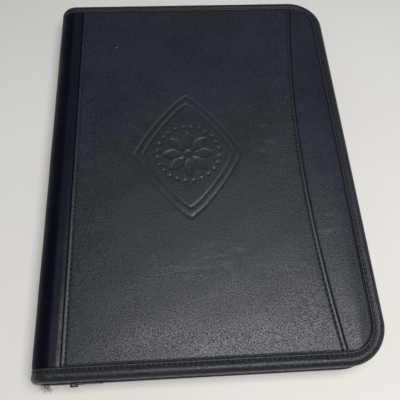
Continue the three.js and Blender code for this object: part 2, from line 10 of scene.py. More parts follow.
import bmesh
import bpy
import numpy as np
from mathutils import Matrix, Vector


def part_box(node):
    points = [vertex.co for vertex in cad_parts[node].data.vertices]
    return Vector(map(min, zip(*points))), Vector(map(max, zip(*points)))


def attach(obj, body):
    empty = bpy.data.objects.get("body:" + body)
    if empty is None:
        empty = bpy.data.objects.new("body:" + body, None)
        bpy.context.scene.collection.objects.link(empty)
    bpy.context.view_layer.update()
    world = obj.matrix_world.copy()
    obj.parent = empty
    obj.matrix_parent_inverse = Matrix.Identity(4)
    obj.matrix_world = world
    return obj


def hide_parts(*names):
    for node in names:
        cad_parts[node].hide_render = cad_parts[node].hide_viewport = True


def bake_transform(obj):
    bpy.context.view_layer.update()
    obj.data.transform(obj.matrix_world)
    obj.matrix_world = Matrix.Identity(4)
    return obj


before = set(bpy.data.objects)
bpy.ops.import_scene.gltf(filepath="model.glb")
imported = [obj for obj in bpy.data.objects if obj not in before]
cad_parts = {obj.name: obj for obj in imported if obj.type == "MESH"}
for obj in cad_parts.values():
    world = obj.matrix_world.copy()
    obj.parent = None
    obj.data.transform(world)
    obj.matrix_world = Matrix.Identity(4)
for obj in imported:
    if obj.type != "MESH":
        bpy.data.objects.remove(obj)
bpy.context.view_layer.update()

MM = 0.001
FORE = float(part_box("front_binding")[1][0])
HEAD = float(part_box("front_binding")[1][1])
THICK = float(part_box("front_centre_panel")[1][2])
SPINE_R = THICK / 2
SPINE_X = SPINE_R - FORE
MID = THICK / 2
CORNER = 30 * MM
print(f"case {2 * FORE / MM:.0f} by {2 * HEAD / MM:.0f} by {THICK / MM:.0f} mm")

# %% [markdown]
# ## Grids into meshes
# Every new surface here is worked out as a grid of points, and the faces between them follow one
# rule. A grid may close on itself one way, as a tube does, and may have a flat face at each end.
# Blender's own normals tool then turns all faces outwards.

# %% Mesh helpers
def grid_faces(rows, columns, closed):
    """Quads between the points of a grid numbered row by row, joined round the columns if closed."""
    row = np.arange(rows - 1)[:, None]
    column = np.arange(columns if closed else columns - 1)[None, :]
    beside = (column + 1) % columns
    corners = (row * columns + column, row * columns + beside,
               (row + 1) * columns + beside, (row + 1) * columns + column)
    return np.stack(corners, axis=-1).reshape(-1, 4).tolist()


def tube_faces(rings, sides):
    """The wall of a tube numbered ring by ring, with a flat face at each end."""
    ends = [list(range(sides))[::-1], list(range((rings - 1) * sides, rings * sides))]
    return grid_faces(rings, sides, True) + ends


def repeated(faces, size, count):
    """The faces of so many like forms, each form's points following those of the one before."""
    return [[corner + size * k for corner in face] for k in range(count) for face in faces]


def finished(name, points, faces, uv=None, sharp=40, outwards=True):
    """A mesh object at the origin, its faces turned outwards and smooth up to the sharp angle."""
    mesh = bpy.data.meshes.new(name)
    mesh.from_pydata(np.asarray(points, float).reshape(-1, 3).tolist(), [], faces)
    if uv is not None:
        loops = np.empty(len(mesh.loops), int)
        mesh.loops.foreach_get("vertex_index", loops)
        flat = np.asarray(uv, float).reshape(-1, 2)[loops].ravel()
        mesh.uv_layers.new(name="UVMap").data.foreach_set("uv", flat)
    if outwards:
        work = bmesh.new()
        work.from_mesh(mesh)
        bmesh.ops.recalc_face_normals(work, faces=work.faces)
        work.to_mesh(mesh)
        work.free()
    mesh.shade_smooth()
    mesh.set_sharp_from_angle(angle=math.radians(sharp))
    piece = bpy.data.objects.new(name, mesh)
    bpy.context.collection.objects.link(piece)
    return piece


def apply_modifiers(piece):
    """The piece's modifiers worked into its mesh."""
    seen = piece.evaluated_get(bpy.context.evaluated_depsgraph_get())
    mesh = bpy.data.meshes.new_from_object(seen)
    piece.modifiers.clear()
    piece.data = mesh


def vertex_places(piece):
    """The places of a piece's vertices, a row of x, y and z for each."""
    places = np.empty(len(piece.data.vertices) * 3)
    piece.data.vertices.foreach_get("co", places)
    return places.reshape(-1, 3)


def marked(piece, name, values):
    """Keep a number on each vertex, for the finishes to read by name."""
    piece.data.attributes.new(name, "FLOAT", "POINT").data.foreach_set("value", values)


def turned_over(points):
    """Points of the front cover mirrored onto the back one: z becomes the thickness less z."""
    return np.asarray(points) * [1, 1, -1] + [0, 0, THICK]


def bump_of(distance, width):
    """A bell: one at distance nought, falling with the square of distance over width."""
    return np.exp(-((distance / width) ** 2))


def step_of(value, width):
    """Nought below nought, one above width, and a smooth rise between."""
    t = np.clip(value / width, 0, 1)
    return t * t * (3 - 2 * t)


print("helpers ready")

# %% [markdown]
# ## The path of the open edges
# The binding, the tape, the teeth and their stitches all follow one line: round the spine's tail
# end, along the tail, up the fore edge, back along the head and round the spine's head end. One
# function of the distance travelled gives the point, the way inwards and the face's normal, so
# that all of them run exactly side by side.

# %% Edge path
STRAIGHT = FORE - CORNER - SPINE_X
QUARTER = CORNER * math.pi / 2
SIDE = 2 * (HEAD - CORNER)
EDGE = 2 * STRAIGHT + 2 * QUARTER + SIDE
WRAP = SPINE_R * math.pi / 2


def edge_path(travel):
    """Point, inward direction and face normal at each distance from the spine's tail station.

    The outward direction turns a quarter at each corner. Before nought and past the end, the path
    wraps down round the spine, turning with the distance over the spine's radius."""
    travel = np.asarray(travel, float)
    first = np.clip((travel - STRAIGHT) / CORNER, 0, math.pi / 2)
    second = np.clip((travel - STRAIGHT - QUARTER - SIDE) / CORNER, 0, math.pi / 2)
    turn = first + second - math.pi / 2
    outwards = np.stack([np.cos(turn), np.sin(turn), np.zeros_like(turn)], axis=-1)
    back = np.clip(travel - STRAIGHT - 2 * QUARTER - SIDE, 0, STRAIGHT)
    x = SPINE_X + np.clip(travel, 0, STRAIGHT) - back
    y = CORNER - HEAD + np.clip(travel - STRAIGHT - QUARTER, 0, SIDE)
    wrap = np.maximum(np.maximum(-travel, travel - EDGE), 0) / SPINE_R
    normal = np.stack([-np.sin(wrap), np.zeros_like(wrap), np.cos(wrap)], axis=-1)
    middle = np.stack([x, y, np.full_like(x, MID)], axis=-1)
    return middle + outwards * CORNER + normal * SPINE_R, -outwards, normal


def beside_edge(travel, inwards, depth):
    """Points that lie so far inwards from the edge path and so deep below the outer face."""
    point, way, normal = edge_path(travel)
    return point + way * inwards - normal * depth


print(f"edge path {EDGE / MM:.0f} mm and {2 * WRAP / MM:.0f} mm round the spine's ends")

# %% [markdown]
# ## Swept strips
# A bound edge is one section carried along the path. The section starts as the model's own corner
# points, and cutting its corners, as a wood carver rounds a square bar, gives a soft fold.

# %% Sweep helpers
def rounded(outline):
    """Corner cutting: each side of a closed outline keeps its middle half."""
    following = np.roll(outline, -1, axis=0)
    halves = [outline * 0.75 + following * 0.25, outline * 0.25 + following * 0.75]
    return np.stack(halves, axis=1).reshape(-1, 2)


def swept(name, profile, travel, over=False, relief=None):
    """A closed outline of (inwards, depth) points carried along the edge path, with flat ends.

    relief gives an added depth for each pair of travelled distance and outline point."""
    inwards = np.broadcast_to(profile[:, 0], (len(travel), len(profile)))
    depth = np.broadcast_to(profile[:, 1], inwards.shape)
    if relief is not None:
        depth = depth + relief(travel[:, None], inwards, depth)
    point, way, normal = edge_path(travel)
    points = (point[:, None] + way[:, None] * inwards[..., None] - normal[:, None] * depth[..., None])
    if over:
        points = turned_over(points)
    rows, columns = inwards.shape
    faces = grid_faces(rows, columns, True)
    faces += [list(range(columns)), list(range((rows - 1) * columns, rows * columns))]
    around = np.linalg.norm(np.diff(profile, axis=0, append=profile[:1]), axis=1)
    v = np.broadcast_to(np.concatenate([[0], np.cumsum(around)[:-1]]), inwards.shape)
    uv = np.stack([np.broadcast_to(travel[:, None], inwards.shape), v], axis=-1)
    return finished(name, points, faces, uv)


print("sweep ready")

# %% [markdown]
# ## Where folds and stitches lie
# The shapes and the finishes both need these places. A fold or channel is so far from its edge, and
# a row of stitches has a start and a pitch. REACH is how far the leather goes towards head and tail.

# %% Shared places
FOLD_WIDTH, FOLD_HEIGHT = 2.0 * MM, 0.38 * MM
STITCH_PLACE, STITCH_PITCH = 2.9 * MM, 3.9 * MM
BIND_FACE = 9.3 * MM
TUCK = 0.7 * MM
REACH = HEAD - BIND_FACE + TUCK
SEAM_STITCH_START = 4 * MM - REACH
BIND_PITCH = 3.6 * MM
BIND_STITCH_START = 2 * MM - WRAP
CHANNEL_PLACE = BIND_FACE - 1.75 * MM
CHANNEL_DEPTH = 0.98 * MM
HOLE_FULL, HOLE_END = 0.45 * MM, 0.85 * MM
print(f"leather reaches {REACH / MM:.1f} mm, stitches every {STITCH_PITCH / MM:.1f} mm")

# %% [markdown]
# ## Shader sums
# Finishes here are worked out with sums, such as grain plus wear. A small class wraps one output of
# a node, so that a Python expression on it adds the Math nodes. Any other node comes from one
# method, which takes the node's type, its settings and its inputs.

# %% Shader helpers
class Wire:
    """One output socket. Sums on it add Math nodes to the same tree."""

    def __init__(self, finish, socket):
        self.finish = finish
        self.socket = socket

    def _math(self, operation, *values):
        return self.finish.node("ShaderNodeMath", {"operation": operation}, dict(enumerate(values)))

    def __add__(self, other):
        return self._math("ADD", self, other)

    def __radd__(self, other):
        return self._math("ADD", other, self)

    def __sub__(self, other):
        return self._math("SUBTRACT", self, other)

    def __rsub__(self, other):
        return self._math("SUBTRACT", other, self)

    def __mul__(self, other):
        return self._math("MULTIPLY", self, other)

    def __rmul__(self, other):
        return self._math("MULTIPLY", other, self)

    def __truediv__(self, other):
        return self._math("DIVIDE", self, other)

    def __pow__(self, other):
        return self._math("POWER", self, other)

    def larger(self, other):
        return self._math("MAXIMUM", self, other)

    def between(self, low, high):
        """Nought below low, one above high and smooth between."""
        return self.finish.node("ShaderNodeMapRange", {"interpolation_type": "SMOOTHSTEP"},
                                {"Value": self, "From Min": low, "From Max": high}, "Result")


class Finish:
    """A material under construction, with a Principled shader to feed."""

    def __init__(self, name, colour, roughness, **uniform):
        self.material = bpy.data.materials.new(name)
        self.material.use_nodes = True
        self.tree = self.material.node_tree
        self.shader = self.tree.nodes["Principled BSDF"]
        self.shader.inputs["Base Color"].default_value = (*colour, 1)
        self.shader.inputs["Roughness"].default_value = roughness
        for socket, value in uniform.items():
            self.shader.inputs[socket.replace("_", " ")].default_value = value

    def node(self, kind, settings=None, inputs=None, output=0):
        """A node of that type: settings first, then values or links into its sockets."""
        made = self.tree.nodes.new(kind)
        for key, value in (settings or {}).items():
            setattr(made, key, value)
        for key, value in (inputs or {}).items():
            if isinstance(value, Wire):
                self.tree.links.new(value.socket, made.inputs[key])
            else:
                made.inputs[key].default_value = value
        return Wire(self, made.outputs[output])

    def feed(self, socket, wire):
        self.tree.links.new(wire.socket, self.shader.inputs[socket])

    def place(self, kind="Object"):
        return self.node("ShaderNodeTexCoord", output=kind)

    def stretched(self, scale):
        """Coordinates times a scale along each axis."""
        return self.node("ShaderNodeVectorMath", {"operation": "MULTIPLY"},
                         {0: self.place(), 1: scale}, "Vector")

    def parts(self, kind="Object"):
        """The x, y and z of the coordinates."""
        split = self.node("ShaderNodeSeparateXYZ", inputs={0: self.place(kind)})
        return [Wire(self, out) for out in split.socket.node.outputs]

    def noise(self, scale, detail=3, roughness=0.55, vector=None):
        return self.node("ShaderNodeTexNoise", inputs={
            "Vector": vector or self.place(), "Scale": scale, "Detail": detail,
            "Roughness": roughness}, output="Fac")

    def attribute(self, name):
        """A number kept on the vertices, or nought where a piece has none of that name."""
        return self.node("ShaderNodeAttribute", {"attribute_name": name}, output="Fac")

    def holes(self, along, start, pitch):
        """One at the needle holes of a row of stitches, halfway between the stitches' middles."""
        distance = self.node("ShaderNodeMath", {"operation": "PINGPONG"},
                             {0: along - (start + pitch / 2), 1: pitch / 2})
        return 1 - distance.between(HOLE_FULL, HOLE_END)

    def cells(self, scale, feature):
        return self.node("ShaderNodeTexVoronoi", {"feature": feature},
                         {"Vector": self.place(), "Scale": scale}, "Distance")

    def mixed(self, share, first, second):
        """One colour fading into another."""
        ramp = self.node("ShaderNodeMix", {"data_type": "RGBA"}, {0: share}, 2)
        for key, value in ((6, first), (7, second)):
            if isinstance(value, Wire):
                self.tree.links.new(value.socket, ramp.socket.node.inputs[key])
            else:
                ramp.socket.node.inputs[key].default_value = (*value, 1)
        return ramp

    def bump(self, height, distance, strength):
        normal = self.node("ShaderNodeBump", inputs={
            "Height": height, "Distance": distance, "Strength": strength}, output="Normal")
        self.feed("Normal", normal)


print("shader helpers ready")

# %% [markdown]
# ## Leather
# The skins are a bonded black leather: a fine pebble grain, a faint blue cast, a broad soft sheen,
# and pale rubs where hands and desks have worn it. Grain is rounded cells with a finer noise over
# them. Rubs are stretched noise kept only inside a few soft spots, and they lift the colour and
# dull the gloss together. The rubs' pale colour is also laid along fold ridges as a painted
# highlight, and tucks and needle holes are painted near black as painted shade. The side panel's
# leather is a bluer copy and the spine's a darker, bluer one: painted shade on those pieces.

# %% Leather finish
GRAIN_CELL = 0.78 * MM
COAT_SPECK = 0.78 * MM
LEATHER_DARK = (0.0040, 0.0055, 0.0085)
LEATHER_LIGHT = (0.0120, 0.0140, 0.0190)
# The pale colour of real rubs, also used for the painted highlight on fold ridges.
RUB_AND_HIGHLIGHT_COLOUR = (0.085, 0.088, 0.095)
# Painted shade: near black for tucks and needle holes.
CREASE_SHADE_COLOUR = (0.0006, 0.0008, 0.0013)
FLECK = 0.95 * MM
FLECK_COLOUR = (0.030, 0.033, 0.038)
# Painted shade: the side panel's colours are a bluer copy of the front leather's.
SIDE_DARK, SIDE_LIGHT = (0.0034, 0.0052, 0.0092), (0.0104, 0.0132, 0.0200)
BOUND_DARK, BOUND_LIGHT = (0.0030, 0.0043, 0.0075), (0.0085, 0.0107, 0.0155)
LINT_COLOUR = (0.55, 0.55, 0.52)
LINT_PLACE = (-69.5 * MM, 115.1 * MM)
LINT = 0.45 * MM
RUBS = (
    ((-2 * MM, 78 * MM), (22 * MM, 6 * MM)),
    ((54 * MM, 8 * MM), (12 * MM, 30 * MM)),
    ((92 * MM, -62 * MM), (20 * MM, 26 * MM)),
    ((20 * MM, -96 * MM), (70 * MM, 30 * MM)),
)


def leather(name, dark=LEATHER_DARK, light=LEATHER_LIGHT, roughness=0.33, gloss=0.8, rubs=(),
            matt_below=None, specular=0.30, speckle=0.95, fleck=0.7):
    """Pebble grain: cell distance for the grains, fine noise for pores, broad noise for tone.

    gloss is how much of the finish coat the grains' tips keep. Where x is under matt_below, a strip
    that bends away from the light, the coat has gone. Four numbers on the vertices are read by
    name: ridge for a fold ridge painted pale in the rub colour, a painted highlight; tuck for a
    crease painted near black, painted shade; stitch for a line of needle holes along y, and channel
    for a line of them along the binding. The needle holes are painted near black too, painted shade."""
    finish = Finish(name, dark, roughness, Specular_IOR_Level=specular, Coat_Roughness=roughness)
    grains = finish.cells(1 / GRAIN_CELL, "SMOOTH_F1")
    pores = finish.noise(2.4 / GRAIN_CELL, 2)
    broad = finish.noise(26, 5, 0.65)
    x, y, z = finish.parts()
    coat = (finish.noise(1 / COAT_SPECK, 1).between(0.42, 0.62) * speckle + (1 - speckle)) * gloss
    if matt_below is not None:
        coat = coat * x.between(matt_below - 3 * MM, matt_below)
    seam_holes = finish.holes(y, SEAM_STITCH_START, STITCH_PITCH) * finish.attribute("stitch")
    travel = finish.parts("UV")[0]
    bound_holes = finish.holes(travel, BIND_STITCH_START, BIND_PITCH) * finish.attribute("channel")
    crease = finish.attribute("tuck").larger(seam_holes * 0.9).larger(bound_holes * 0.9)
    finish.feed("Coat Weight", coat * (1 - crease))
    worn = None
    streaks = finish.noise(90, 4, vector=finish.stretched((1.0, 2.6, 1.0))).between(0.50, 0.74)
    for (cx, cy), (wide, tall) in rubs:
        far = ((x - cx) / wide) ** 2 + ((y - cy) / tall) ** 2
        spot = 1 - far.between(0.1, 1.0)
        worn = spot if worn is None else worn.larger(spot)
    tone = finish.mixed((broad * 0.9 + grains * 0.4).between(0.38, 0.85), dark, light)
    shine = broad.between(0.3, 0.7) * 0.06 + grains.between(0.15, 0.75) * 0.30 + (roughness - 0.12)
    flecks = finish.noise(1 / FLECK, 1).between(0.46, 0.64)
    tone = finish.mixed(flecks * fleck, tone, FLECK_COLOUR)
    # Painted highlight: fold ridges mixed towards the pale rub colour.
    tone = finish.mixed(finish.attribute("ridge") * 0.45, tone, RUB_AND_HIGHLIGHT_COLOUR)
    if worn is not None:
        mask = worn * streaks * 0.40
        tone = finish.mixed(mask, tone, RUB_AND_HIGHLIGHT_COLOUR)
        shine = shine + mask * 0.25
    lint = 1 - (((x - LINT_PLACE[0]) / LINT) ** 2 + ((y - LINT_PLACE[1]) / LINT) ** 2).between(0.5, 1.0)
    tone = finish.mixed(lint * z.between(MID, THICK), tone, LINT_COLOUR)
    # Painted shade: tucks and needle holes mixed towards near black.
    finish.feed("Base Color", finish.mixed(crease, tone, CREASE_SHADE_COLOUR))
    finish.feed("Roughness", shine + crease * 0.5)
    finish.bump(grains * -1.0 + pores * 0.30, 0.30 * MM, 1.0)
    return finish.material


panel_leather = leather("worn_leather", rubs=RUBS)
# Painted shade: the side panel gets a bluer copy of the leather.
side_leather = leather("side_leather", SIDE_DARK, SIDE_LIGHT, gloss=0.66, rubs=RUBS, fleck=0.5)
plain_leather = leather("plain_leather")
# Painted shade: the spine gets a much darker, bluer copy of the leather.
spine_leather = leather("spine_leather", (0.0009, 0.0020, 0.0058), (0.0022, 0.0037, 0.0088),
                        gloss=0.8, matt_below=SPINE_X + 1.2 * MM, specular=0.05, speckle=0.6, fleck=0.05)
bound_leather = leather("bound_leather", BOUND_DARK, BOUND_LIGHT, gloss=0.5)
print("leather:", panel_leather.name, plain_leather.name, bound_leather.name)

# %% [markdown]
# ## Cloth, paper and metal
# The tape is a herringbone: fine ribs that lean one way and then the other, drawn on the strip's
# own UV map so that they follow it round the corners. The lining is a plain weave. Board, card and
# paper are felted fibre, so a soft noise is enough, and the pad's edge shows its sheets.

# %% Other finishes
def woven(name, dark, light, pitch, kind="Object", lean=0.0):
    """Two sets of ribs multiplied: a wave along one axis and a wave along the other.

    lean slopes the first set, turning over every few ribs, which gives a herringbone."""
    finish = Finish(name, dark, 0.85, Sheen_Weight=0.25)
    x, y = finish.parts(kind)[:2]
    zigzag = finish.node("ShaderNodeMath", {"operation": "PINGPONG"}, {0: y, 1: pitch * 4})
    along = (x + zigzag * lean) * (2 * math.pi / pitch)
    ribs = finish.node("ShaderNodeMath", {"operation": "SINE"}, {0: along}) * 0.5 + 0.5
    across = finish.node("ShaderNodeMath", {"operation": "SINE"}, {0: y * (2 * math.pi / pitch)})
    weave = ribs * (across * 0.3 + 0.7)
    tone = finish.mixed(weave * finish.noise(900).between(0.2, 0.7), dark, light)
    finish.feed("Base Color", tone)
    finish.bump(weave, 0.12 * MM, 0.8)
    return finish.material


def fibrous(name, dark, light, scale, roughness=0.9, specular=0.4):
    """Felted fibre: a noise drawn out one way, mixed with a finer one."""
    finish = Finish(name, dark, roughness, Specular_IOR_Level=specular)
    fibres = finish.noise(scale, 4, vector=finish.stretched((1.0, 0.35, 1.0)))
    tone = finish.mixed((fibres + finish.noise(scale * 5) * 0.4).between(0.5, 0.9), dark, light)
    finish.feed("Base Color", tone)
    finish.bump(fibres, 0.08 * MM, 0.5)
    return finish.material


def enamel(name, colour, bare, roughness, metallic=1.0):
    """Thin black enamel on metal, worn a little where a fine noise is high."""
    finish = Finish(name, colour, roughness, Metallic=metallic)
    rub = finish.noise(420, 5).between(0.60, 0.78)
    finish.feed("Base Color", finish.mixed(rub * 0.5, colour, bare))
    finish.feed("Roughness", finish.noise(900) * 0.18 + (roughness - 0.09))
    finish.bump(finish.noise(1500), 0.02 * MM, 0.5)
    return finish.material


def ruled_paper(name):
    """White paper with pale blue rules down the page and a hair's line between its sheets."""
    finish = Finish(name, (0.83, 0.82, 0.77), 0.9)
    y = finish.parts()[1]
    wave = finish.node("ShaderNodeMath", {"operation": "PINGPONG"}, {0: y, 1: 4.35 * MM})
    rule = 1 - wave.between(0.10 * MM, 0.28 * MM)
    sheets = finish.noise(1, 2, vector=finish.stretched((5, 5, 5200)))
    tone = finish.mixed(sheets.between(0.35, 0.65) * 0.35, (0.83, 0.82, 0.77), (0.62, 0.61, 0.57))
    finish.feed("Base Color", finish.mixed(rule * 0.5, tone, (0.33, 0.47, 0.66)))
    finish.bump(sheets, 0.05 * MM, 0.6)
    return finish.material


tape_cloth = woven("zip_tape_cloth", (0.006, 0.006, 0.008), (0.020, 0.020, 0.024), 0.7 * MM, "UV", 0.8)
lining_cloth = woven("lining_cloth", (0.010, 0.010, 0.013), (0.030, 0.031, 0.036), 0.8 * MM)
elastic_cloth = woven("elastic_cloth", (0.008, 0.008, 0.010), (0.028, 0.028, 0.032), 1.1 * MM)
foam_fill = fibrous("foam_fill", (0.30, 0.30, 0.28), (0.42, 0.42, 0.40), 700)
grey_board = fibrous("grey_board", (0.20, 0.165, 0.12), (0.30, 0.26, 0.20), 260)
pad_card = fibrous("pad_card", (0.26, 0.21, 0.14), (0.36, 0.30, 0.22), 320)
page_paper = ruled_paper("page_paper")
zip_enamel = enamel("zip_enamel", (0.030, 0.031, 0.034), (0.16, 0.16, 0.16), 0.38)
coil_nylon = enamel("coil_nylon", (0.018, 0.018, 0.021), (0.05, 0.05, 0.055), 0.40, 0.0)
thread_black = fibrous("thread_black", (0.010, 0.012, 0.015), (0.026, 0.029, 0.034), 3000, 0.5, 0.3)
thread_pale = fibrous("thread_pale", (0.10, 0.10, 0.10), (0.30, 0.29, 0.28), 3000, 0.8)
print(len(bpy.data.materials), "materials")


def dress(piece, material, body=None):
    """Give a piece its finish and the body that carries it."""
    piece.data.materials.clear()
    piece.data.materials.append(material)
    if body:
        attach(piece, body)
    return piece


# %% [markdown]
# ## The front's plan
# The front has three pieces of leather. A straight seam divides the spine's leather from the
# centre panel, and a bowed seam divides the centre from the side panel. The bow is a smooth curve
# through three places, the same one that the model uses, so both sides of the seam ask one function.

# %% Seams of the front
SEAM_X = float(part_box("front_centre_panel")[0][0])
CURVE_HEAD, CURVE_MIDDLE, CURVE_TAIL = 98.8 * MM, 84.3 * MM, 95.6 * MM
CURVE_REACH = HEAD + 5 * MM
FACE_DEPTH = 0.3 * MM


def curved_seam(y):
    """The bowed seam's x: a parabola through its head, middle and tail places."""
    t = (CURVE_REACH - y) / (2 * CURVE_REACH)
    control = 2 * CURVE_MIDDLE - (CURVE_HEAD + CURVE_TAIL) / 2
    return (1 - t) ** 2 * CURVE_HEAD + 2 * t * (1 - t) * control + t * t * CURVE_TAIL


def bound_limit_x(y):
    """The x of the binding's inner edge on the fore side: straight, then round the corner."""
    radius = CORNER - BIND_FACE + TUCK
    past = np.clip(np.abs(y) - (HEAD - CORNER), 0, radius)
    return FORE - CORNER + np.sqrt(radius ** 2 - past ** 2)


def edge_crease(distance):
    """One where the leather goes in under its neighbour's edge, fading beyond it: where shade is painted.
    """
    return 1 - step_of(distance - 0.9 * MM, 0.8 * MM)


def graded(*stretches):
    """Places from nought to one, with steps of their own on each (length, step) stretch."""
    places = [0.0]
    for length, step in stretches:
        count = max(int(round(length / step)), 1)
        places += list(places[-1] + length * np.arange(1, count + 1) / count)
    return np.array(places) / places[-1]


print(f"seam at {SEAM_X / MM:.1f} mm, bow from {CURVE_HEAD / MM:.1f} to {CURVE_MIDDLE / MM:.1f} mm")

# %% [markdown]
# ## The debossed ornament
# The front is pressed with a plain figure: two nested lozenges with bowed sides, a rosette of eight
# petals round a heart, and a ring of beads. A press leaves soft-edged grooves, so each figure is a
# smooth mask, and the masks lower the panel's height.

# %% Ornament masks
ORNAMENT = np.array([-9.0, 1.0]) * MM
LOZENGE = np.array([44.0, 58.0]) * MM
LOZENGE_BOW = 1.195
PRESS_DEPTH = 0.42 * MM
PRESS_EDGE = 0.7 * MM
OUTER_LINE, INNER_LINE = (0.0, 1.6 * MM), (6.4 * MM, 7.6 * MM)
PETAL_MIDDLE, PETAL_REACH, PETAL_HALF, PETAL_INSET = 13 * MM, 8 * MM, 4 * MM, 0.35 * MM
HEART = 2.6 * MM
BEAD_CIRCLE, BEAD = 25.5 * MM, 1.0 * MM
WITHIN = 9 * MM


def line_mask(distance, low, high):
    """One between two distances, with soft shoulders outside them."""
    past_low = step_of(distance - low + PRESS_EDGE, PRESS_EDGE)
    return past_low * step_of(high - distance + PRESS_EDGE, PRESS_EDGE)


def ornament_mask(x, y):
    """How far the press reaches at each place, from nought to one."""
    px, py = x - ORNAMENT[0], y - ORNAMENT[1]
    lozenge = (np.abs(px / LOZENGE[0]) ** LOZENGE_BOW + np.abs(py / LOZENGE[1]) ** LOZENGE_BOW)
    inside = (1 - lozenge ** (1 / LOZENGE_BOW)) * LOZENGE[0]
    rings = np.maximum(line_mask(inside, *OUTER_LINE), line_mask(inside, *INNER_LINE))
    radius, turn = np.hypot(px, py), np.arctan2(py, px)
    petal_turn = np.mod(turn + math.pi / 8, math.pi / 4) - math.pi / 8
    across = np.abs(radius * np.sin(petal_turn))
    half_width = PETAL_HALF * (1 - ((radius - PETAL_MIDDLE) / PETAL_REACH) ** 2)
    petals = line_mask(half_width - across, PETAL_INSET, WITHIN)
    heart = line_mask(HEART - radius, 0, WITHIN)
    bead_turn = np.mod(turn, math.pi / 12) - math.pi / 24
    bead = np.hypot(radius - BEAD_CIRCLE, radius * bead_turn)
    beads = line_mask(BEAD - bead, 0, WITHIN)
    return np.clip(np.maximum.reduce([rings, petals, heart, beads]), 0, 1)


print("ornament", 2 * LOZENGE / MM, "mm")

# %% [markdown]
# ## Front panels
# The centre panel lies over its neighbours: each long edge is folded under, which leaves a rounded
# ridge, and topstitched beside the fold, which draws the leather down in a puckered groove. The
# foam lifts the middle a little. The panel is a height over its plan, closed by a skirt and a flat
# underside.

# %% Panel heights
PANEL_FLOOR = THICK - 1.25 * MM
CROWN, CROWN_RUN = 0.75 * MM, 14 * MM
HOLE_DEPTH, GROOVE_DEPTH = 0.42 * MM, 0.14 * MM
PUFF = 0.95 * MM


def soft_waves(x, y):
    """Slow unevenness of foam under leather: a few crossed waves of long pitch."""
    return (0.10 * np.sin(x * 61 + 0.7) * np.sin(y * 47 + 1.9) + 0.07 * np.sin(x * 113 + y * 71)
            + 0.04 * np.sin(y * 173 - x * 89 + 2.1)) * MM


def fold_mask(from_edge):
    """One along the flat top of a folded edge, with soft shoulders."""
    return step_of(from_edge - 0.1 * MM, 0.6 * MM) * (1 - step_of(from_edge - FOLD_WIDTH, 0.8 * MM))


def folded_edge(from_edge, y):
    """Height of a folded, topstitched edge at a distance from it: roll, ridge and stitch groove."""
    roll = -1.0 * MM * (1 - step_of(from_edge, 0.55 * MM))
    ridge = FOLD_HEIGHT * fold_mask(from_edge)
    from_hole = (np.mod((y - SEAM_STITCH_START) / STITCH_PITCH, 1) - 0.5) * STITCH_PITCH
    hole = HOLE_DEPTH * bump_of(from_hole, 0.7 * MM) * bump_of(from_edge - STITCH_PLACE, 0.55 * MM)
    groove = GROOVE_DEPTH * bump_of(from_edge - STITCH_PLACE, 0.8 * MM)
    return roll + ridge - groove - hole


def centre_height(x, y):
    """The centre panel's surface: base, two folded edges, foam crown, dip at the binding, press."""
    near_seam = np.minimum(x - SEAM_X, curved_seam(y) - x)
    near_end = REACH - np.abs(y)
    crown = CROWN * (1 - np.exp(-np.clip(near_seam - STITCH_PLACE, 0, 1) / CROWN_RUN))
    crown *= step_of(near_end, 30 * MM)
    edges = folded_edge(x - SEAM_X, y) + folded_edge(curved_seam(y) - x, y)
    dip = -1.15 * MM * (1 - step_of(near_end, 3.2 * MM))
    calm = step_of(near_seam, 12 * MM) * step_of(near_end, 12 * MM)
    press = -PRESS_DEPTH * ornament_mask(x, y)
    return THICK - FACE_DEPTH + crown + edges + dip + soft_waves(x, y) * calm + press


def side_height(x, y):
    """The side panel's surface: tucked under the centre panel, puffed, and dipping at its edges."""
    near_seam = x - curved_seam(y)
    near_bound = np.minimum(bound_limit_x(y) - x, REACH - np.abs(y))
    puff = PUFF * step_of(near_seam, 13 * MM) * step_of(near_bound, 12 * MM)
    tuck = -0.75 * MM * (1 - step_of(near_seam, 1.6 * MM))
    dip = -0.9 * MM * (1 - step_of(near_bound, 3.0 * MM))
    return THICK - 0.5 * MM + puff + tuck + dip + 0.5 * soft_waves(x, y)


def panel(name, u, y, left, right, height, floor=PANEL_FLOOR, over=False):
    """A closed panel: the height over a grid between two side lines, a skirt and a flat floor."""
    y = np.broadcast_to(y[:, None], (len(y), len(u)))
    x = left(y) + u[None, :] * (right(y) - left(y))
    top = np.stack([x, y, np.maximum(height(x, y), floor + 0.1 * MM)], axis=-1)
    rows, columns = x.shape
    index = np.arange(rows * columns).reshape(rows, columns)
    ring = np.concatenate([index[0, :-1], index[:-1, -1], index[-1, :0:-1], index[:0:-1, 0]])
    skirt = top.reshape(-1, 3)[ring] * [1, 1, 0] + [0, 0, floor]
    low = rows * columns + np.arange(len(ring))
    sides = np.stack([ring, np.roll(ring, -1), np.roll(low, -1), low], axis=-1).tolist()
    faces = grid_faces(rows, columns, False) + sides + [low.tolist()]
    points = np.concatenate([top.reshape(-1, 3), skirt])
    if over:
        points = turned_over(points)
    return finished(name, points, faces, points[:, :2])


# %% Centre and side panels
SEAM_STEPS = (4.5 * MM, 0.3 * MM)
across = graded(SEAM_STEPS, (43 * MM, 2.4 * MM), (93 * MM, 0.8 * MM), (40 * MM, 2.4 * MM), SEAM_STEPS)
ORNAMENT_REACH = LOZENGE[1] + 2 * MM
END_ROWS = (REACH - ORNAMENT_REACH - 4 * MM, 0.78 * MM)
down = (graded((4 * MM, 0.6 * MM), END_ROWS, (2 * ORNAMENT_REACH, 0.8 * MM), END_ROWS,
               (4 * MM, 0.6 * MM)) * 2 - 1) * REACH
centre = panel("front_centre_leather", across, down, lambda y: SEAM_X + 0 * y, curved_seam, centre_height)
dress(centre, panel_leather, "front_cover")
plan = vertex_places(centre)
from_spine, from_side = plan[:, 0] - SEAM_X, curved_seam(plan[:, 1]) - plan[:, 0]
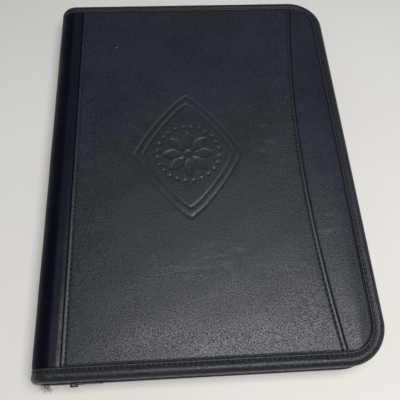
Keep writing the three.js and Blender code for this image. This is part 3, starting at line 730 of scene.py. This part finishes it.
# Painted highlight: the fold ridges are painted pale, more so towards the tail.
ridge_highlight_share = step_of(20 * MM - plan[:, 1], 130 * MM)
marked(centre, "ridge", np.maximum(fold_mask(from_spine), fold_mask(from_side)) * ridge_highlight_share)
marked(centre, "stitch", np.maximum(bump_of(from_spine - STITCH_PLACE, 0.7 * MM),
                                    bump_of(from_side - STITCH_PLACE, 0.7 * MM)))
# Painted shade: the ends that go under the binding are painted dark.
marked(centre, "tuck", edge_crease(REACH - np.abs(plan[:, 1])))
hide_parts("front_centre_panel")

SIDE_REACH = REACH - 0.35 * MM
side_rows = np.sin(np.linspace(-math.pi / 2, math.pi / 2, 240)) * 0.5 + np.linspace(-0.5, 0.5, 240)
side_columns = graded((3 * MM, 0.5 * MM), (22 * MM, 1.2 * MM), (4 * MM, 0.6 * MM))
side_panel = panel("front_side_leather", side_columns, side_rows * SIDE_REACH, curved_seam,
                   lambda y: np.maximum(bound_limit_x(y), curved_seam(y) + 0.3 * MM), side_height)
dress(side_panel, side_leather, "front_cover")
plan = vertex_places(side_panel)
from_seam = plan[:, 0] - curved_seam(plan[:, 1])
from_bound = np.minimum(bound_limit_x(plan[:, 1]) - plan[:, 0], REACH - np.abs(plan[:, 1]))
# Painted shade: dark under the seam and along the binding.
under_seam = 1 - step_of(from_seam - 0.3 * MM, 0.9 * MM)
marked(side_panel, "tuck", np.maximum(under_seam, edge_crease(from_bound)))
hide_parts("front_side_panel")
print("centre panel", len(centre.data.polygons), "faces, side panel", len(side_panel.data.polygons))

# %% [markdown]
# ## Spine leather
# One piece of leather wraps the spine, from the front seam round to the back. The case turns on two
# lines of the spine, so the leather is made in two sheets that meet at the middle. Each sheet is a
# flat stretch and a quarter circle carried along the spine.

# %% Spine leather
SPINE_FACE = 0.5 * MM
SPINE_LEATHER = 1.0 * MM


def spine_sheet(travel, depth, reach, rows):
    """Points across the spine by travelled distance: flat up to the spine's middle line, then round.

    travel is nought where the roundness starts, negative over the cover."""
    turn = np.clip(travel, 0, None) / SPINE_R
    y = np.linspace(-reach, reach, rows)[:, None]
    x = SPINE_X - np.clip(travel, None, 0) - np.sin(turn) * (SPINE_R - depth(travel, y))
    z = MID + np.cos(turn) * (SPINE_R - depth(travel, y))
    return np.stack([x + 0 * y, y + 0 * x, z + 0 * y], axis=-1)


def spine_depth(travel, y):
    """Depth of the spine's leather: tucked under the centre panel at the seam and at the binding."""
    from_seam = SEAM_X - SPINE_X + travel
    tuck = 0.55 * MM * (1 - step_of(from_seam + 0.8 * MM, 4.5 * MM))
    dip = 0.8 * MM * (1 - step_of(REACH - np.abs(y), 3.0 * MM))
    wave = 0.10 * MM * np.sin(y * 83 + travel * 210) * np.sin(y * 31 + 1.0)
    return SPINE_FACE + tuck + dip + wave


def bend(piece):
    """The piece's own placement worked into its points."""
    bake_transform(piece)


def thick_sheet(name, travel, depth, reach, rows, back, thickness, offset):
    """A spine sheet with a thickness. The offset says to which side of the surface it grows."""
    points = spine_sheet(travel, depth, reach, rows)
    if back:
        points = turned_over(points)
    sheet = finished(name, points, grid_faces(rows, len(travel), False), sharp=60, outwards=False)
    wall = sheet.modifiers.new("thickness", "SOLIDIFY")
    wall.thickness = thickness
    wall.offset = offset
    apply_modifiers(sheet)
    return sheet


over_cover = np.linspace(SPINE_X - SEAM_X - 0.8 * MM, 0, 14)[:-1]
spine_travel = np.concatenate([over_cover, np.linspace(0, WRAP, 36)])
for back, name, nodes in ((False, "spine_leather_front_half", ("spine_panel_front_edge", "spine_skin")),
                          (True, "spine_leather_back_half", ("spine_panel_back_edge",))):
    sheet = thick_sheet(name, spine_travel, spine_depth, REACH, 200, back,
                        SPINE_LEATHER, -1.0 if back else 1.0)
    sheet.data.set_sharp_from_angle(angle=math.radians(60))
    dress(sheet, spine_leather)
    place = vertex_places(sheet)
    # Painted shade: dark at the seam and at the binding's ends.
    at_seam = (1 - step_of(SEAM_X - place[:, 0] - 0.3 * MM, 1.1 * MM)) * (place[:, 2] > MID)
    marked(sheet, "tuck", np.maximum(at_seam, edge_crease(REACH - np.abs(place[:, 1]))))
    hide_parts(*nodes)
    bend(sheet)
    print(name, len(sheet.data.polygons), "faces")

# %% [markdown]
# ## Bound edges
# The binding is a folded strip: a thin rib, a stitched channel, a rolled rib and the turned edge.
# The channel is drawn down at every stitch, and that pucker is what catches the light in the photo,
# so the sweep adds a little depth at each stitch.

# %% Bindings
BIND_PROFILE = np.array([
    (9.3, 2.3), (9.3, 1.0), (9.15, 0.55), (8.85, 0.42), (8.35, 0.45), (8.0, 0.8), (7.6, 1.0),
    (7.1, 0.95), (6.4, 0.75), (5.4, 0.42), (4.4, 0.30), (3.4, 0.48), (2.3, 0.98), (1.3, 1.7),
    (0.5, 2.7), (0.1, 3.7), (0.0, 4.6), (0.0, 5.3), (0.45, 6.05), (1.2, 6.3), (7.5, 6.3),
    (7.5, 5.35), (1.25, 5.35), (1.25, 2.3),
]) * MM

BOUND_OUTLINE = rounded(BIND_PROFILE)
THIN_RIB_PLACE = BIND_FACE - 0.7 * MM
PUCKER_DEPTH = 0.22 * MM
ROLL_PLACE, ROLL_WIDTH, ROLL_WAVE = 3.4 * MM, 1.8 * MM, 0.09 * MM


def bind_relief(travel, inwards, depth):
    """Extra depth at the stitches of the channel, and a slight unevenness of the rolled rib."""
    on_face = 1 - step_of(depth - 1.6 * MM, 0.8 * MM)
    pucker = 0.5 + 0.5 * np.cos(2 * math.pi * travel / BIND_PITCH)
    stitch = PUCKER_DEPTH * pucker * bump_of(inwards - CHANNEL_PLACE, 0.7 * MM)
    wave = ROLL_WAVE * np.sin(travel * 137 + 0.6) * np.sin(travel * 59)
    return (stitch + wave * bump_of(inwards - ROLL_PLACE, ROLL_WIDTH)) * on_face


bind_travel = np.linspace(-WRAP, EDGE + WRAP, 560)
for back, name, nodes in ((False, "front_bound_edge", ("front_binding", "spine_binding_head")),
                          (True, "back_bound_edge", ("back_binding", "spine_binding_tail"))):
    edge = swept(name, BOUND_OUTLINE, bind_travel, back, bind_relief)
    dress(edge, bound_leather)
    inwards, depth = BOUND_OUTLINE.T
    # Painted highlight on the thin rib, and painted shade at the channel's needle holes.
    rib_highlight = bump_of(inwards - THIN_RIB_PLACE, 0.6 * MM) * (depth < 0.8 * MM) * 0.6
    channel = bump_of(inwards - CHANNEL_PLACE, 0.9 * MM) * (depth < 1.6 * MM)
    marked(edge, "ridge", np.tile(rib_highlight, len(bind_travel)))
    marked(edge, "channel", np.tile(channel, len(bind_travel)))
    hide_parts(*nodes)
    bend(edge)
    print(name, len(edge.data.polygons), "faces")

# %% [markdown]
# ## Stitches
# A stitch is a short thread that arches over the leather and dives in at both ends. One small tube
# is made once as an array, and every stitch is that array turned to its own line and lifted to its
# own height, all in one sum.

# %% Stitch helper
THREAD = 0.34 * MM
STITCH_LENGTH = 2.5 * MM
STITCH_RISE, STITCH_SINK = 0.30 * MM, 0.22 * MM
STITCH_RINGS, STITCH_SIDES = 6, 6


def stitch_row(name, middles, along, normal):
    """One mesh of stitches: each has a middle, the way it runs and the way up."""
    t = np.linspace(-1, 1, STITCH_RINGS)[:, None]
    turn = np.linspace(0, 2 * math.pi, STITCH_SIDES, endpoint=False)[None, :]
    thick = THREAD * np.sqrt(1 - 0.75 * t ** 2)
    sway = thick * np.cos(turn)
    lift = thick * np.sin(turn) + STITCH_RISE * (1 - t ** 2) - STITCH_SINK
    run = np.broadcast_to(t * STITCH_LENGTH / 2, sway.shape)
    side = np.cross(normal, along)
    local = np.stack([run, sway, lift], axis=-1).reshape(1, -1, 3)
    axes = np.stack([along, side, normal], axis=1)
    points = middles[:, None] + local @ axes
    tube = tube_faces(STITCH_RINGS, STITCH_SIDES)
    faces = repeated(tube, STITCH_RINGS * STITCH_SIDES, len(middles))
    return dress(finished(name, points, faces), thread_black)


def unit(vectors):
    """Vectors divided by their lengths."""
    return vectors / np.linalg.norm(vectors, axis=-1, keepdims=True)


# %% Stitches of the seams and the bindings
SEAM_LIFT = 0.14 * MM
SEAM_LOOK, BIND_LOOK = 0.2 * MM, 0.3 * MM
seam_y = np.arange(SEAM_STITCH_START, -SEAM_STITCH_START, STITCH_PITCH)
for name, line in (("spine_seam_stitches", lambda y: SEAM_X + STITCH_PLACE + 0 * y),
                   ("curved_seam_stitches", lambda y: curved_seam(y) - STITCH_PLACE)):
    def on_panel(y):
        """Points of the seam's line on the panel's surface."""
        return np.stack([line(y), y, centre_height(line(y), y)], axis=-1)
    way = unit(on_panel(seam_y + SEAM_LOOK) - on_panel(seam_y - SEAM_LOOK))
    up = np.broadcast_to([0.0, 0.0, 1.0], way.shape)
    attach(stitch_row(name, on_panel(seam_y) + [0, 0, SEAM_LIFT], way, up), "front_cover")

bind_places = np.arange(BIND_STITCH_START, EDGE + WRAP - 2 * MM, BIND_PITCH)
for back, name in ((False, "front_binding_stitches"), (True, "back_binding_stitches")):
    middle = beside_edge(bind_places, CHANNEL_PLACE, CHANNEL_DEPTH)
    ahead = beside_edge(bind_places + BIND_LOOK, CHANNEL_PLACE, CHANNEL_DEPTH)
    way, up = unit(ahead - middle), edge_path(bind_places)[2]
    if back:
        middle, way, up = turned_over(middle), way * [1, 1, -1], up * [1, 1, -1]
    row = stitch_row(name, middle, way, up)
    bend(row)
    print(name, len(bind_places), "stitches")

# %% [markdown]
# ## The zip
# A tape is a cloth strip with a flange sewn under the binding and a wall that stands across the
# gap. Its teeth are the loops of a nylon coil, seen from outside as short upright bars. The bars of
# the two tapes are set half a pitch apart, so they close like fingers.

# %% Tapes
TAPE_IN, TAPE_WALL = 3.0 * MM, 0.6 * MM
TAPE_EDGE = THICK - float(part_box("front_zip_tape")[0][2])
tape_start = float(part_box("front_zip_tape")[0][0]) - SPINE_X
TAPE_PROFILE = np.array([
    (TAPE_IN, 6.3 * MM), (TAPE_IN + 4.5 * MM, 6.3 * MM), (TAPE_IN + 4.5 * MM, 6.9 * MM),
    (TAPE_IN + TAPE_WALL, 6.9 * MM), (TAPE_IN + TAPE_WALL, 9 * MM), (TAPE_IN + TAPE_WALL, TAPE_EDGE),
    (TAPE_IN, TAPE_EDGE), (TAPE_IN, 9 * MM),
])
tape_travel = np.linspace(tape_start, EDGE - tape_start, 260)
for back, body in ((False, "front_cover"), (True, "back_cover")):
    side = "back" if back else "front"
    tape = swept(f"{side}_tape_cloth", TAPE_PROFILE, tape_travel, back)
    dress(tape, tape_cloth, body)
    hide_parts(f"{side}_zip_tape")
print("tapes", round((EDGE - 2 * tape_start) / MM), "mm long")

# %% Teeth
TOOTH_PITCH = 1.6 * MM
TOOTH = np.array([0.95, 2.1, 3.5]) * MM
TOOTH_SIDES = 8
TOOTH_LEVELS = np.array([-0.5, -0.36, 0.36, 0.5])
TOOTH_NARROWING = np.array([0.6, 1.0, 1.0, 0.6])
TOOTH_DROP = MID - 1.15 * MM
COIL_START = float(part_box("front_zip_coil")[0][0]) - SPINE_X
COIL_END = EDGE - tape_start - 4 * MM


def teeth(name, places, back):
    """Rounded bars across the tape's edge: a ring of eight points, narrowed at both ends."""
    half_turn = math.pi / TOOTH_SIDES
    turn = np.linspace(0, 2 * math.pi, TOOTH_SIDES, endpoint=False) + half_turn
    ring = np.stack([np.cos(turn), np.sin(turn)], axis=-1) / math.cos(half_turn) / 2
    run = (ring[None, :, 0] * TOOTH_NARROWING[:, None] * TOOTH[0]).ravel()
    across_tape = (ring[None, :, 1] * TOOTH_NARROWING[:, None] * TOOTH[1]).ravel()
    height = np.repeat(TOOTH_LEVELS * TOOTH[2], TOOTH_SIDES)
    point, way, normal = edge_path(places)
    along = np.cross(way, normal)
    middle = point + way * (TAPE_IN + TAPE_WALL / 2) - normal * TOOTH_DROP
    points = (middle[:, None] + along[:, None] * run[None, :, None]
              + way[:, None] * across_tape[None, :, None] + normal[:, None] * height[None, :, None])
    if back:
        points = turned_over(points)
    bar = tube_faces(len(TOOTH_LEVELS), TOOTH_SIDES)
    return finished(name, points, repeated(bar, len(height), len(places)), sharp=50)


for back, body in ((False, "front_cover"), (True, "back_cover")):
    side = "back" if back else "front"
    places = np.arange(COIL_START, COIL_END, TOOTH_PITCH) + (TOOTH_PITCH / 2 if back else 0)
    row = dress(teeth(f"{side}_coil_teeth", places, back), coil_nylon, body)
    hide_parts(f"{side}_zip_coil")
    print(side, len(places), "teeth")

# %% [markdown]
# ## Slider and pull
# Both are die-cast, so their edges are soft. The model's own solids have the right form, and a copy
# of each with its doubles merged, its flat faces joined and a narrow bevel gives the cast edge.

# %% Cast metal
def cast_copy(node, name, body, edge):
    """A copy of a CAD node with merged points, joined flat faces and a small rounded bevel."""
    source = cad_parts[node]
    work = bmesh.new()
    work.from_mesh(source.data)
    work.transform(source.matrix_world)
    bmesh.ops.remove_doubles(work, verts=work.verts, dist=1e-6)
    bmesh.ops.dissolve_limit(work, angle_limit=math.radians(1), verts=work.verts, edges=work.edges)
    mesh = bpy.data.meshes.new(name)
    work.to_mesh(mesh)
    work.free()
    piece = bpy.data.objects.new(name, mesh)
    bpy.context.collection.objects.link(piece)
    bevel = piece.modifiers.new("cast_edge", "BEVEL")
    bevel.width = edge
    bevel.segments = 2
    bevel.limit_method = "ANGLE"
    bevel.angle_limit = math.radians(40)
    apply_modifiers(piece)
    piece.data.shade_smooth()
    piece.data.set_sharp_from_angle(angle=math.radians(35))
    dress(piece, zip_enamel, body)
    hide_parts(node)
    return piece


cast_slider = cast_copy("zip_slider", "slider_casting", "slider", 0.22 * MM)
cast_pull = cast_copy("zip_pull", "pull_tab", "pull", 0.28 * MM)
print("slider", len(cast_slider.data.polygons), "faces, pull", len(cast_pull.data.polygons))

# %% [markdown]
# ## The back
# The back is one plain panel of the same leather. It lies flat on the table, so its face is level
# up to the dip by the binding.

# %% Back panel
def back_height(x, y):
    """Level, with a dip along the binding and along the spine's seam."""
    near = np.minimum(np.minimum(bound_limit_x(y) - x, REACH - np.abs(y)), (x - SEAM_X) * 1.3)
    return THICK - 0.9 * MM * (1 - step_of(near, 3.0 * MM)) - 0.12 * MM * (1 - step_of(near, 14 * MM))


back_u = graded((4 * MM, 0.7 * MM), (210 * MM, 2.5 * MM), (4 * MM, 0.7 * MM))
back_v = (graded((4 * MM, 0.7 * MM), (312 * MM, 2.5 * MM), (4 * MM, 0.7 * MM)) * 2 - 1) * REACH
back_panel = panel("back_leather", back_u, back_v, lambda y: SEAM_X + 0 * y, bound_limit_x, back_height,
                   over=True)
dress(back_panel, plain_leather, "back_cover")
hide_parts("back_outer_skin")
print("back panel", len(back_panel.data.polygons), "faces")

# %% [markdown]
# ## Inside
# Opened, the case shows its lining, the pockets and the pad. The lining crosses the two hinge lines
# as the leather does, in two sheets. Each pocket is a cloth panel that lifts a little between its
# stitched rims, with a rolled hem at its mouth.

# %% Hinge linings
LINING_DEPTH = 5.1 * MM
LINING_REACH = HEAD - 2 * MM
LINING = 0.25 * MM
lining_travel = np.concatenate([np.linspace(-6 * MM, 0, 5)[:-1], np.linspace(0, WRAP, 26)])
for back in (False, True):
    name = "hinge_lining_back" if back else "hinge_lining_front"
    sheet = thick_sheet(name, lining_travel, lambda travel, y: LINING_DEPTH + 0 * travel,
                        LINING_REACH, 90, back, LINING, 0)
    dress(sheet, lining_cloth)
    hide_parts("spine_lining")
    bend(sheet)
print("hinge linings", len(sheet.data.polygons), "faces each")

# %% Pockets
POCKET_RIM = 3 * MM


def pocket_panel(node, body, back):
    """A pocket over its CAD solid's plan: low rims on three sides and a rolled hem at the mouth."""
    low, high = (np.array(corner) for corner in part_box(node))
    width, tall, lift = high[0] - low[0], high[1] - low[1], high[2] - low[2]

    def height(x, y):
        """The cloth's lift: a wall inside the rims, a rolled hem and puckers at the rims' stitches."""
        rim = np.minimum(np.minimum(x - low[0], high[0] - x), y - low[1])
        from_mouth = high[1] - y
        wall = lift * (0.45 + 0.55 * step_of(rim, POCKET_RIM))
        hem = 0.28 * MM * bump_of(from_mouth - 1.6 * MM, 1.4 * MM)
        pucker = 0.12 * MM * np.cos(2 * math.pi * (x + y) / BIND_PITCH)
        return wall + hem + pucker * bump_of(rim - 2 * MM, 0.8 * MM)

    u = graded((5 * MM, 0.8 * MM), (width - 10 * MM, 4 * MM), (5 * MM, 0.8 * MM))
    v = graded((5 * MM, 0.8 * MM), (tall - 10 * MM, 3 * MM), (5 * MM, 0.6 * MM))
    piece = panel(node + "_cloth", u, low[1] + v * tall, lambda y: low[0] + 0 * y,
                  lambda y: high[0] + 0 * y, height, floor=0.0)
    place = vertex_places(piece)
    place[:, 2] = low[2] + place[:, 2] if back else high[2] - place[:, 2]
    piece.data.vertices.foreach_set("co", place.ravel())
    if not back:
        piece.data.flip_normals()
    dress(piece, lining_cloth, body)
    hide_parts(node)


for node in ("document_pocket", "card_pocket_1", "card_pocket_2", "card_pocket_3", "pass_pocket"):
    pocket_panel(node, "front_cover", False)
pocket_panel("pad_pocket", "back_cover", True)
print("pockets done")

# %% [markdown]
# ## The pad
# A pad's edge is never quite true: its sheets stand in small bundles, each a hair in or out. The
# block is a stack of thin levels whose outline moves by a fraction of a millimetre from level to
# level.

# %% Pad
def pad_block(node, name):
    """Levels of a rectangle, each grown or shrunk by its own small seeded amount."""
    low, high = (np.array(corner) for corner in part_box(node))
    levels = 36
    random = np.random.default_rng(7)
    inset = random.uniform(0.0, 0.28, (levels, 1, 1)) * MM
    inset[[0, -1]] = 0
    corners = np.array([(0, 0), (1, 0), (1, 1), (0, 1)])
    rect = low[:2] + corners * (high - low)[:2]
    rect = np.broadcast_to(rect, (levels, 4, 2)) + inset * (1 - 2 * corners)
    z = np.broadcast_to(np.linspace(low[2], high[2], levels)[:, None, None], (levels, 4, 1))
    points = np.concatenate([rect, z], axis=-1)
    faces = grid_faces(levels, 4, True) + [[0, 1, 2, 3], [levels * 4 - k for k in (4, 3, 2, 1)]]
    piece = finished(name, points, faces, sharp=20)
    dress(piece, page_paper, "back_cover")
    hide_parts(node)
    return piece


pad = pad_block("notepad_sheets", "pad_sheets")
print("pad", len(pad.data.polygons), "faces")

# %% [markdown]
# ## Frayed threads
# At the spine's tail end the binding's thread has come loose, and some fine ends stand out.
# Each is a thin tube along a short curve of its own.

# %% Thread ends
TUFT_RINGS, TUFT_SIDES = 12, 5


def thread_tuft(name, root, ends, thick):
    """Tubes along quadratic curves from neighbouring roots to several tips, thinning to the tip."""
    t = np.linspace(0, 1, TUFT_RINGS)[:, None, None]
    turn = np.linspace(0, 2 * math.pi, TUFT_SIDES, endpoint=False)[None, :]
    points = []
    for k, (bend_to, tip) in enumerate(ends):
        start = np.array(root) + [0.35 * MM * k, 0, 0.3 * MM * (k % 4)]
        line = start + 2 * t * (1 - t) * bend_to + t ** 2 * tip
        size = thick * (1 - 0.5 * t[:, :, 0])
        sway = size * np.cos(turn)
        points.append((line + np.stack([sway, 0.4 * sway, size * np.sin(turn)], axis=-1)).reshape(-1, 3))
    faces = repeated(tube_faces(TUFT_RINGS, TUFT_SIDES), TUFT_RINGS * TUFT_SIDES, len(ends))
    return finished(name, np.concatenate(points), faces)


TUFT_ROOT = (SPINE_X - 9.5 * MM, -HEAD + 0.4 * MM, 5.0 * MM)
tuft_random = np.random.default_rng(11)
TUFT_ENDS = [(tuft_random.uniform((-2, -3, -1), (3, -0.5, 2)) * MM,
              tuft_random.uniform((-4, -5.5, -4), (6, -2, -1)) * MM) for _ in range(16)]
tuft = thread_tuft("frayed_thread_ends", TUFT_ROOT, TUFT_ENDS, 0.17 * MM)
dress(tuft, thread_pale, "back_cover")
print("frayed ends", len(TUFT_ENDS))

# %% [markdown]
# ## Plain inner parts
# What the model already has in its right form keeps its solid, and gets a worked finish.

# %% Finishes of the carried-over nodes
INNER = {
    "front_foam": foam_fill, "back_foam": foam_fill, "front_board": grey_board, "back_board": grey_board,
    "spine_stiffener": grey_board, "front_lining": lining_cloth, "back_lining": lining_cloth,
    "notepad_card_back": pad_card, "notepad_head_tape": bound_leather, "pen_loop": elastic_cloth,
    "front_zip_top_stop": zip_enamel, "back_zip_top_stop": zip_enamel, "zip_bottom_stop": zip_enamel,
}
for node, material in INNER.items():
    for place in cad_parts[node].material_slots:
        place.material = material
print(len(INNER), "nodes dressed")

# %% [markdown]
# ## Table, light and camera
# The table is plain and pale. One broad lamp overhead, a little to the right and towards the tail,
# gives the leather its sheen, which is strongest where the camera sees the lamp mirrored. An even
# sky fills the rest. The camera stands where the photo's did.

# %% Table
TABLE_Z = -0.3 * MM
TABLE_HALF = 3.0
table_points = np.array([(-1, -1, 0), (1, -1, 0), (1, 1, 0), (-1, 1, 0)]) * TABLE_HALF + [0, 0, TABLE_Z]
table = finished("table_top", table_points, [[0, 1, 2, 3]], outwards=False)
table_finish = Finish("table_paint", (0.78, 0.76, 0.72), 0.6)
table_tone = table_finish.noise(6, 4).between(0.3, 0.7)
table_finish.feed("Base Color", table_finish.mixed(table_tone, (0.765, 0.725, 0.655), (0.79, 0.75, 0.68)))
table.data.materials.append(table_finish.material)

# %% Lamps and sky
def lamp(name, place, target, size, power, colour):
    """A rectangular area lamp high over a target, tilted towards it about x and then about y."""
    light = bpy.data.lights.new(name, "AREA")
    light.shape = "RECTANGLE"
    light.size, light.size_y = size
    light.energy = power
    light.color = colour
    holder = bpy.data.objects.new(name, light)
    holder.location = place
    across, along, down = np.array(target) - np.array(place)
    holder.rotation_euler = (math.atan2(along, -down), math.atan2(-across, -down), 0)
    bpy.context.collection.objects.link(holder)


lamp("overhead", (0.21, -0.24, 1.0), (0.09, -0.14, 0.0), (0.68, 0.62), 10.7, (0.98, 0.985, 1.0))
sky = bpy.data.worlds.new("sky")
sky.use_nodes = True
sky.node_tree.nodes["Background"].inputs["Color"].default_value = (0.70, 0.82, 1.0, 1)
sky.node_tree.nodes["Background"].inputs["Strength"].default_value = 0.19
bpy.context.scene.world = sky

# %% Camera
PHOTO_FOCAL = 473.6
PHOTO_WIDTH = 400
camera_data = bpy.data.cameras.new("camera")
camera_data.sensor_width = 36
camera_data.lens = PHOTO_FOCAL / PHOTO_WIDTH * camera_data.sensor_width
camera = bpy.data.objects.new("camera", camera_data)
camera.location = (-0.0204, -0.19766, 0.36634)
camera.rotation_euler = (0.4366, -0.0299, -0.0544)
bpy.context.collection.objects.link(camera)
bpy.context.scene.camera = camera
bpy.context.scene.view_settings.view_transform = "Standard"
print(f"lens {camera_data.lens:.1f} mm")
